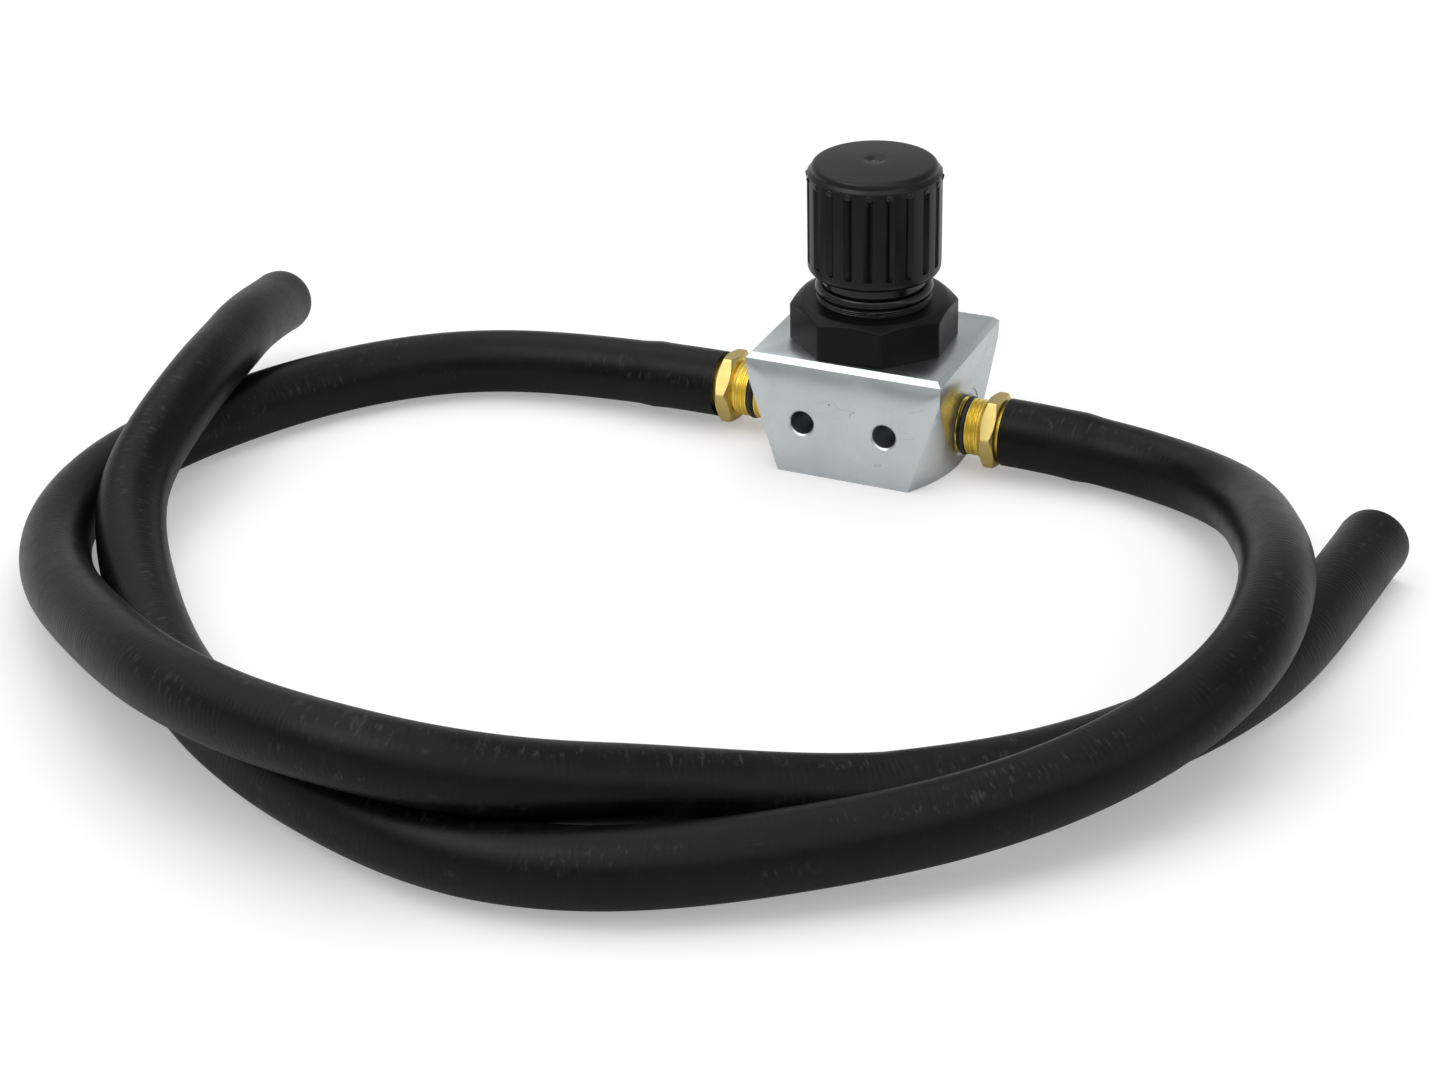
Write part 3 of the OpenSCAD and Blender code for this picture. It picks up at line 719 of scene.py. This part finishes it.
bonnetSet = {
    "spigot": 17.97 * mm, "barrel": 20 * mm, "crest": 21.1 * mm, "root": 20.4 * mm,
    "lip": 21.6 * mm, "lipRound": 2.5 * mm, "neck": 19.5 * mm, "bush": 9 * mm,
    "foot": 29.5 * mm, "block": 45.5 * mm, "nutTop": 61 * mm, "collarTop": 67.7 * mm,
    "neckTop": 78 * mm, "bore": 5.05 * mm, "pocket": 8.2 * mm, "pocketFoot": 56 * mm,
    "ledge": 10 * mm, "ledgeFoot": 52 * mm, "chamber": 14 * mm, "grooveFoot": 40 * mm,
    "grooveHeight": 2.4 * mm, "grooveRoot": 15.85 * mm,
    "pitch": 0.7 * mm, "threadDepth": 0.35 * mm, "threadGap": 0.1 * mm, "threadDrop": 1.5 * mm,
    "threadRows": 0.1 * mm, "runOut": 0.2 * mm, "skin": 0.05 * mm,
    "columns": 240, "lipSteps": 18, "lipFrom": -30, "creaseFrom": 40,
}


def makeBonnet(size):
    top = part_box("bonnet")[1].z
    lip = (size["lip"] - size["lipRound"], size["collarTop"] - size["lipRound"])
    threadLow = size["nutTop"] + size["threadGap"]
    threadHigh = lip[1] - size["threadDrop"]
    profile = [
        (size["chamber"], size["foot"]), (size["spigot"], size["foot"]),
        (size["spigot"], size["grooveFoot"]), (size["grooveRoot"], size["grooveFoot"]),
        (size["grooveRoot"], size["grooveFoot"] + size["grooveHeight"]),
        (size["spigot"], size["grooveFoot"] + size["grooveHeight"]),
        (size["spigot"], size["block"]), (size["barrel"], size["block"]),
        (size["barrel"], size["nutTop"]), (size["root"], size["nutTop"])]
    profile += filled([(size["crest"], threadLow), (size["crest"], threadHigh)],
                      size["threadRows"])
    profile += [(size["root"], threadHigh + size["runOut"])]
    profile += arc(lip, size["lipRound"], size["lipFrom"], 90, size["lipSteps"])
    profile += [
        (size["neck"], size["collarTop"]), (size["neck"], size["neckTop"]),
        (size["bush"], size["neckTop"]), (size["bush"], top), (size["bore"], top),
        (size["bore"], size["nutTop"]), (size["pocket"], size["nutTop"]),
        (size["pocket"], size["pocketFoot"]), (size["ledge"], size["pocketFoot"]),
        (size["ledge"], size["ledgeFoot"]), (size["chamber"], size["ledgeFoot"])]
    bonnet = turned("bonnetShell", profile, size["columns"], True)
    applyTree(bonnet, thread, {
        "Pitch": size["pitch"], "Depth": size["threadDepth"], "Low": threadLow,
        "High": threadHigh, "Outside": size["crest"] - size["skin"],
        "Finish": collarPlastic})
    creases(bonnet, size["creaseFrom"])
    dress(bonnet, collarPlastic, "bonnet")


makeBonnet(bonnetSet)
print("bonnet made")


def polygonBar(name, size):
    # a bar with flat sides round Z, eased corners and a conical bevel at the top, and at the
    # foot where bevelLow is given
    sides, flat = size["sides"], size["flat"] / 2
    columns = sides * size["perSide"]
    turn = math.radians(size["turn"])
    low, high = size["low"], size["high"]

    def reach(angle):
        # the rounded outline: a high power keeps the sides flat and eases the corners
        power = size["crisp"]
        total = sum(max(0.0, math.cos(angle - turn - 2 * math.pi * (k + 0.5) / sides)) ** power
                    for k in range(sides))
        return flat / total ** (1 / power)

    slope = size["slope"]
    rows = []
    heights = list(np.linspace(low, high - size["deep"], 8))[:-1]
    if size["bevelLow"]:
        heights = list(np.arange(low, high - size["deep"], size["fine"]))
    heights += list(np.linspace(high - size["deep"], high, round(size["deep"] / size["fine"])))
    for z in heights:
        cap = size["bevelHigh"] + (high - z) * slope
        if size["bevelLow"]:
            cap = min(cap, size["bevelLow"] + (z - low) * slope)
        rows.append((z, cap))
    angles = [turn + 2 * math.pi * k / columns for k in range(columns)]
    outline = [reach(a) for a in angles]
    verts = []

    def ringOf(radii, z):
        verts.extend((r * math.cos(a), r * math.sin(a), z) for r, a in zip(radii, angles))

    def trimmed(cap):
        # the outline where the cone of the bevel cuts it, with a soft edge between the two
        ease = size["ease"]
        return [-ease * math.log(math.exp(-(r - cap) / ease) + 1) + cap if r - cap < 20 * ease
                else cap for r in outline]

    ringOf([size["bore"]] * columns, low)
    edge = trimmed(rows[0][1])
    ringOf([r - size["edge"] for r in edge], low)
    rows[0] = (low + size["edge"] * 0.5, rows[0][1])
    rows[-1] = (high - size["edge"] * 0.5, rows[-1][1])
    for z, cap in rows:
        ringOf(trimmed(cap), z)
    edge = trimmed(rows[-1][1])
    ringOf([r - size["edge"] for r in edge], high)
    ringOf([size["bore"]] * columns, high)
    count = len(verts) // columns
    bar = addObject(name, verts, gridFaces(count, columns, True))
    tidyMesh(bar)
    creases(bar, size["creaseFrom"])
    return bar


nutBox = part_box("octagon_nut")
nutSet = {
    "sides": 8, "flat": 62 * mm * math.cos(math.pi / 8), "turn": 25, "perSide": 56,
    "low": nutBox[0].z, "high": nutBox[1].z, "fine": 0.13 * mm, "deep": 5 * mm,
    "slope": 1.83, "bevelHigh": 26.6 * mm, "bevelLow": None, "bore": 20.03 * mm, "crisp": 170,
    "ease": 0.20 * mm, "edge": 0.15 * mm, "creaseFrom": 30,
}


def makeNut(size):
    nut = polygonBar("nutShell", size)
    dress(nut, nutPlastic, "octagon_nut")


makeNut(nutSet)
print("nut made")


knobSet = {
    "radius": 24.3 * mm, "cavity": 20.6 * mm, "hub": 9.5 * mm, "hubHole": 7 * mm,
    "hubFoot": 15.5 * mm, "holeDepth": 6 * mm, "socket": 4.5 * mm, "socketTop": 4.5 * mm,
    "cap": 3 * mm, "footRound": 2.8 * mm, "wallTop": 4.5 * mm, "rim": 2.3 * mm,
    "shoulder": 1.4 * mm,
    # the shoulder's points: how far inside the wall or the neck, and how far below the top
    "shoulderEdge": (0.15 * mm, 4.1 * mm), "shoulderFoot": (0.3 * mm, 3.3 * mm),
    "neckTop": 2.9 * mm,
    # the crown's points: how far inside the neck, then a share of its radius, and the drop
    "crownEdge": [(3.6 * mm, 0.54 * mm), (6 * mm, 0.42 * mm)],
    "crown": [(0.55, 0.2 * mm), (0.36, 0.05 * mm), (0.28, 0)],
    "dimple": 4.7 * mm, "dimpleDepth": 0.85 * mm, "gate": 1.0 * mm, "gateSink": 0.9,
    "gateRise": [(0.7, 0.15 * mm), (0, 0.2 * mm)],
    "footArc": (-72, 0, 8), "rimArc": (0, 86, 12),   # from, to and how many points
    "dimpleRows": (0.98, 0.26, 12),
    # how far apart the wall's rows stand: under the grooves, at their ends and along them
    "rowSteps": (0.8 * mm, 0.1 * mm, 3 * mm), "endReach": 0.5 * mm, "stopReach": 1.6 * mm,
    "columns": 720, "creaseFrom": 40,
    "grooveCount": 20, "grooveDepth": 1.4 * mm, "grooveWidth": 3.3 * mm, "groovePhase": 16.0,
    "grooveFoot": 4.7 * mm, "grooveTop": 5 * mm, "grooveSkin": 0.5 * mm, "stop": 1.4 * mm,
}


def makeKnob(size):
    low, top = (corner.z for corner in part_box("knob"))
    r = size["radius"]
    neck = r - size["shoulder"]
    foot = size["footRound"]
    grooveLow = low + size["grooveFoot"]
    grooveHigh = top - size["grooveTop"] - size["grooveDepth"]

    skirt = [(r - foot, low)]
    skirt += arc((r - foot, low + foot), foot, *size["footArc"])
    under, close, along = size["rowSteps"]
    rows = [(low + foot, under), (grooveLow - size["endReach"], close),
            (grooveLow + size["endReach"], along), (grooveHigh - size["stopReach"], close),
            (top - size["wallTop"], None)]
    wall = []
    for (start, step), (stop, none) in zip(rows, rows[1:]):
        wall += filled([(r, start), (r, stop)], step)

    edge, ledge = size["shoulderEdge"], size["shoulderFoot"]
    shoulder = [(r - edge[0], top - edge[1]), (neck + ledge[0], top - ledge[1]),
                (neck, top - size["neckTop"])]
    rim = arc((neck - size["rim"], top - size["neckTop"]), size["rim"], *size["rimArc"])
    crown = [(neck - inward, top - drop) for inward, drop in size["crownEdge"]]
    crown += [(neck * share, top - drop) for share, drop in size["crown"]]
    dimple = [(size["dimple"] * a, top - size["dimpleDepth"] * (0.5 + 0.5 * math.cos(math.pi * a)))
              for a in np.linspace(*size["dimpleRows"])]
    gate = (size["gate"], top - size["gateSink"] * size["dimpleDepth"])
    dimple += [gate] + [(gate[0] * share, gate[1] + rise) for share, rise in size["gateRise"]]
    inside = [(0, top - size["socketTop"]), (size["socket"], top - size["socketTop"]),
              (size["socket"], low + size["hubFoot"] + size["holeDepth"]),
              (size["hubHole"], low + size["hubFoot"] + size["holeDepth"]),
              (size["hubHole"], low + size["hubFoot"]), (size["hub"], low + size["hubFoot"]),
              (size["hub"], top - size["cap"]), (size["cavity"], top - size["cap"]),
              (size["cavity"], low), (r - foot, low)]
    profile = skirt + wall[1:] + shoulder + rim + crown + dimple + inside
    knob = turned("knobShell", profile, size["columns"])
    applyTree(knob, grooves, {
        "Count": size["grooveCount"], "Depth": size["grooveDepth"],
        "Width": size["grooveWidth"], "Low": grooveLow, "High": grooveHigh,
        "Phase": size["groovePhase"] / 360, "Stop": size["stop"],
        "Outside": neck - size["grooveSkin"], "Finish": knobPlastic})
    creases(knob, size["creaseFrom"])
    dress(knob, knobPlastic, "knob", "knob_assembly")


makeKnob(knobSet)
print("knob made")


fittingSet = {
    "crest": 10.48 * mm, "root": 9.3 * mm, "bore": 5.5 * mm, "tip": 0.8 * mm,
    "pitch": 1.814 * mm, "threadDepth": 1.0 * mm, "threadRows": 0.15 * mm,
    "threadEnd": 0.9 * mm, "neckFrom": 0.8 * mm, "runOut": 0.6 * mm, "skin": 0.4 * mm,
    "hexFlat": 25 * mm, "hexLength": 5.8 * mm, "hexTurn": 22.5, "hexBevel": 0.4 * mm,
    "collar": 1.5 * mm, "collarRise": 1.2 * mm, "barb": 8.4 * mm, "barbDrop": 1 * mm,
    "barbLength": 5.6 * mm, "barbGap": 0.05 * mm, "barbCount": 5, "sealFrom": 7.5 * mm,
    "sealWidth": 2.6 * mm, "sealRoot": 8.63 * mm, "columns": 96, "creaseFrom": 40,
}


def makeFitting(side, size):
    node = side + "_fitting"
    low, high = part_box(node)
    hexStart = high.x - tail - size["collar"] - size["hexLength"]
    if side == "left":
        hexStart = -low.x - tail - size["collar"] - size["hexLength"]
    shank = hexStart - (low.x if side == "right" else -high.x)
    seal = size["sealFrom"]
    half = size["sealWidth"] / 2
    crest, tip = size["crest"], size["tip"]
    rod = [(size["bore"], -shank), (crest - tip, -shank), (crest, -shank + tip)]
    rod = filled(rod + [(crest, -seal - half)], size["threadRows"])
    rod += [(size["sealRoot"], -seal - half), (size["sealRoot"], -seal + half)]
    rod += filled([(crest, -seal + half), (crest, -size["threadEnd"])], size["threadRows"])
    rod += [(size["root"], -size["neckFrom"]), (size["root"], 0)]
    end = size["hexLength"]
    collar = size["barb"] + size["collarRise"]
    rod += [(size["root"], end), (collar, end), (collar, end + size["collar"])]
    end += size["collar"]
    for i in range(size["barbCount"]):
        rod += [(size["barb"], end + size["barbGap"]),
                (size["barb"] - size["barbDrop"], end + size["barbLength"])]
        end += size["barbLength"]
    rod += [(size["bore"], end)]
    body = turned(side + "Shank", rod, size["columns"], True)
    applyTree(body, thread, {
        "Pitch": size["pitch"], "Depth": size["threadDepth"], "Low": -shank,
        "High": -size["runOut"], "Outside": crest - size["skin"], "Finish": brass})
    creases(body, size["creaseFrom"])
    bevel = size["hexFlat"] / 2 - size["hexBevel"]
    hexagon = polygonBar(side + "Hex", {
        "sides": 6, "flat": size["hexFlat"], "turn": size["hexTurn"], "perSide": 30,
        "low": 0.0, "high": size["hexLength"], "fine": 0.12 * mm, "deep": 2 * mm,
        "slope": 1.73, "bevelHigh": bevel, "bevelLow": bevel,
        "bore": size["root"] - 0.1 * mm, "crisp": 120, "ease": 0.06 * mm,
        "edge": 0.1 * mm, "creaseFrom": 30})
    whole = joined(side + "Fitting", [body, hexagon])
    turn = Matrix.Rotation(math.pi / 2, 4, "Y")
    place = Matrix.Translation((hexStart, 0, portHeight))
    whole.data.transform(place @ turn)
    if side == "left":
        whole.data.transform(Matrix.Scale(-1, 4, (1, 0, 0)))
        whole.data.flip_normals()
    dress(whole, brass, node)


for side in ("left", "right"):
    makeFitting(side, fittingSet)
print("fittings made")


# the inner pieces keep their CAD shape and get a finish of their own
cadFinishes = {
    "bonnet_o_ring": sealRubber, "stem_o_ring": sealRubber, "detent_ring": sealRubber,
    "plunger_o_ring_upper": sealRubber, "plunger_o_ring_lower": sealRubber,
    "left_seal_ring": sealRubber, "right_seal_ring": sealRubber,
    "thrust_washer_upper": brass, "thrust_washer_lower": brass, "stem_retainer": brass,
    "stem": steel, "plunger": steel, "key_pin": steel,
}
for name, finish in cadFinishes.items():
    mesh = nodes[name].data
    mesh.materials.clear()
    mesh.materials.append(finish)
print("inner pieces dressed")


stageSet = {
    "floor": 6.0,                                    # width of the paper in metres
    "paper": (0.74, 0.74, 0.74),
    "paperRough": 0.9,
    "glow": 0.32,
    "glowMirrored": 0.15,
    "skyForShade": 0.5,
    "skyForGloss": 0.42,
    "panelForGloss": 1.3,
    "panelLow": (0.46, 0.64),                        # heights at which it starts and is full
    "panelBack": (-0.72, -0.30),                     # and how far back it reaches
    "horizonForGloss": 0.75,
    "horizonEdge": (0.02, 0.34),
    "lamps": [
        # name, place, width, power, and whether glossy surfaces mirror it
        ("overhead", (0.05, 0.55, 2.9), 3.2, 46.0, False),
        ("front", (-0.55, -0.75, 1.25), 0.9, 3.0, True),
        ("right", (1.5, -0.4, 0.9), 0.8, 1.0, True),
    ],
}


def rayKinds(book):
    # one where the camera sees a thing, and one where a glossy surface mirrors it
    sockets = book.add("ShaderNodeLightPath").socket.node.outputs
    return [Wire(book, sockets[name]) for name in ("Is Camera Ray", "Is Glossy Ray")]


def makeFloor(size):
    # white paper that glows a little, so that it stays white in the picture
    half = size["floor"] / 2
    floor = addObject("floor", [(-half, -half, 0), (half, -half, 0), (half, half, 0),
                                (-half, half, 0)], [(0, 1, 2, 3)], False)
    look = Finish("floorPaper", Roughness=size["paperRough"])
    look.set(Base_Color=(*size["paper"], 1))
    camera, gloss = rayKinds(look)
    rays = camera.most(gloss * size["glowMirrored"])
    glow = look.add("ShaderNodeEmission", None, {
        "Color": (1, 1, 1, 1), "Strength": rays * size["glow"]})
    both = look.add("ShaderNodeAddShader", None,
                    {0: Wire(look, look.shader.outputs[0]), 1: glow})
    look.feed(look.tree.nodes["Material Output"].inputs["Surface"], both)
    floor.data.materials.append(look.material)


def makeWorld(size):
    # a plain white sky that mirrors as a soft panel overhead and a bright horizon
    world = bpy.data.worlds.new("studio")
    bpy.context.scene.world = world
    world.use_nodes = True
    book = Book(world.node_tree)
    camera, gloss = rayKinds(book)
    shade = size["skyForShade"]
    x, y, z = book.parts(book.add("ShaderNodeTexCoord"))
    panel = z.spread(*size["panelLow"]) * (y * -1.0 - x * 0.8).spread(*size["panelBack"])
    horizon = z.spread(*size["horizonEdge"], size["horizonForGloss"], size["skyForGloss"])
    sky = (panel * size["panelForGloss"]).most(horizon)
    back = world.node_tree.nodes["Background"]
    back.inputs["Color"].default_value = (1, 1, 1, 1)
    book.feed(back.inputs["Strength"],
              camera * (1 - shade) + gloss * (sky - shade) + shade)


def makeLamp(name, place, width, power, mirrored):
    data = bpy.data.lights.new(name, "AREA")
    data.shape = "DISK"
    data.size = width
    data.energy = power
    lamp = bpy.data.objects.new(name, data)
    lamp.location = place
    lamp.visible_glossy = mirrored
    lamp.rotation_euler = (-Vector(place)).to_track_quat("-Z", "Y").to_euler()
    bpy.context.scene.collection.objects.link(lamp)


makeFloor(stageSet)
makeWorld(stageSet)
for row in stageSet["lamps"]:
    makeLamp(*row)
bpy.context.scene.view_settings.view_transform = "Standard"
print("stage and lamps ready")
